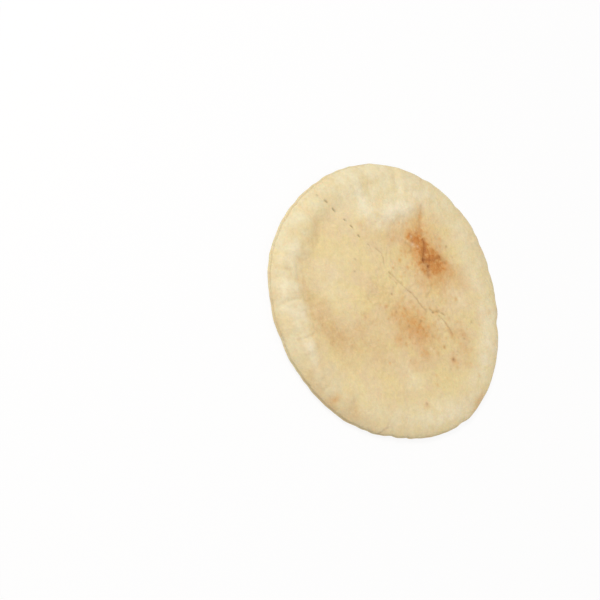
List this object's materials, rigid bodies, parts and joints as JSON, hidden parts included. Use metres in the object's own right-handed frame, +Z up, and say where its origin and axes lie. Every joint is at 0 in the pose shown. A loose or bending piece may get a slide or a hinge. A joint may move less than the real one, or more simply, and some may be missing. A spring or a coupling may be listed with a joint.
{
  "type": "pita bread",
  "caption": "Round pocket flatbread with a rolled edge, puffed pleated rim, long blister, toasted patches and a tear line of slits; lies flat.",
  "frame": {"origin": "middle of the bread's bounding box at its base, where it rests", "axes": "+Z up through the toasted face; -Y is the side with the fullest rim; +X to the right when that side is nearest"},
  "size_m": [0.1784, 0.1784, 0.0119],
  "materials": {
    "baked_crust": "matt baked wheat crust, cream with orange-brown toasted patches"
  },
  "bodies": {
    "root": {"pita_bread": "baked_crust"}
  },
  "joints": []
}
